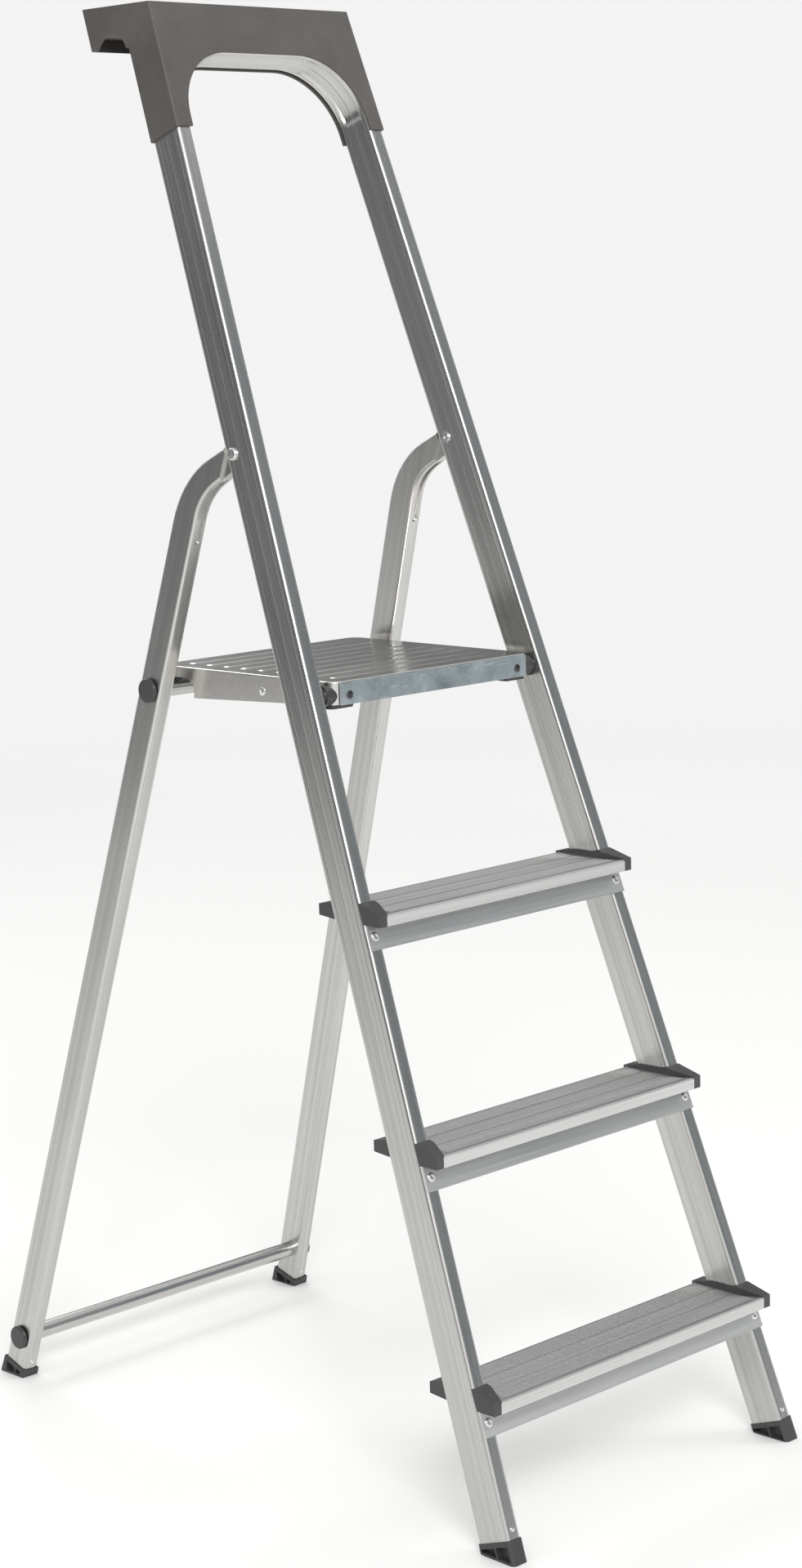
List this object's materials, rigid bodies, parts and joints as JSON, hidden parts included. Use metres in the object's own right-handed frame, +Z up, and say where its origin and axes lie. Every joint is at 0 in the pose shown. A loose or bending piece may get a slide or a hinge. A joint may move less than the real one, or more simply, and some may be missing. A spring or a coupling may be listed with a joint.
{
  "type": "platform step ladder",
  "caption": "Folding step ladder with ribbed treads, a standing platform, a tall safety bow and a moulded tool tray on top.",
  "frame": {"origin": "on the floor under the middle of the opened ladder", "axes": "+Z up, +Y towards the rear legs, +X to the right of whoever climbs it from the front"},
  "size_m": [0.4392, 0.8046, 1.4996],
  "materials": {
    "stile_aluminium": "mill finish extrusion with lengthwise die lines, satin to bright",
    "tread_aluminium": "mill finish extrusion with fine anti-slip ribs",
    "leg_aluminium": "mill finish tube with lengthwise die lines",
    "deck_aluminium": "bright rolled sheet with pressed beads",
    "strip_steel": "zinc plated sheet, mottled, with bright cut edges",
    "rivet_aluminium": "set rivet, bright",
    "tube_aluminium": "drawn tube, satin",
    "hood_plastic": "moulded polypropylene with a fine grain",
    "screw_steel": "zinc plated screw",
    "foot_plastic": "soft moulded plastic, near black",
    "cap_plastic": "moulded plastic, dark grey",
    "fitting_plastic": "moulded plastic, dark grey"
  },
  "bodies": {
    "front_frame": {"stile_bow": "stile_aluminium", "tread_low": "tread_aluminium", "tread_mid": "tread_aluminium", "tread_top": "tread_aluminium", "cap_low_l": "cap_plastic", "cap_low_r": "cap_plastic", "cap_mid_l": "cap_plastic", "cap_mid_r": "cap_plastic", "cap_top_l": "cap_plastic", "cap_top_r": "cap_plastic", "tread_rivets": "rivet_aluminium", "hood": "hood_plastic", "hood_screws": "screw_steel", "foot_front_l": "foot_plastic", "foot_front_r": "foot_plastic", "foot_rivets_front": "rivet_aluminium", "front_tube": "tube_aluminium", "collar_l": "fitting_plastic", "collar_r": "fitting_plastic", "hinge_rivet_l": "rivet_aluminium", "hinge_rivet_r": "rivet_aluminium"},
    "rear_frame": {"leg_l": "leg_aluminium", "leg_r": "leg_aluminium", "tube_upper": "tube_aluminium", "tube_lower": "tube_aluminium", "plug_upper_l": "fitting_plastic", "plug_upper_r": "fitting_plastic", "plug_lower_l": "fitting_plastic", "plug_lower_r": "fitting_plastic", "foot_rear_l": "foot_plastic", "foot_rear_r": "foot_plastic", "foot_rivets_rear": "rivet_aluminium"},
    "platform": {"deck": "deck_aluminium", "apron_strip": "strip_steel", "strip_rivets": "rivet_aluminium", "deck_brace": "deck_aluminium", "brace_rivets": "rivet_aluminium", "bearing_l": "fitting_plastic", "bearing_r": "fitting_plastic", "saddle_l": "fitting_plastic", "saddle_r": "fitting_plastic"}
  },
  "joints": [
    {"name": "frame_fold", "type": "hinge", "parent": "front_frame", "child": "rear_frame", "pos_m": [0, 0.00666, 1.045], "axis": [-1, 0, 0], "range_deg": [0, 36.6]},
    {"name": "platform_tilt", "type": "hinge", "parent": "front_frame", "child": "platform", "pos_m": [0, -0.09744, 0.8056], "axis": [1, 0, 0], "range_deg": [0, 70.2]}
  ],
  "couplings": [
    {"joint": "platform_tilt", "follows": "frame_fold", "ratio": 1.912}
  ]
}
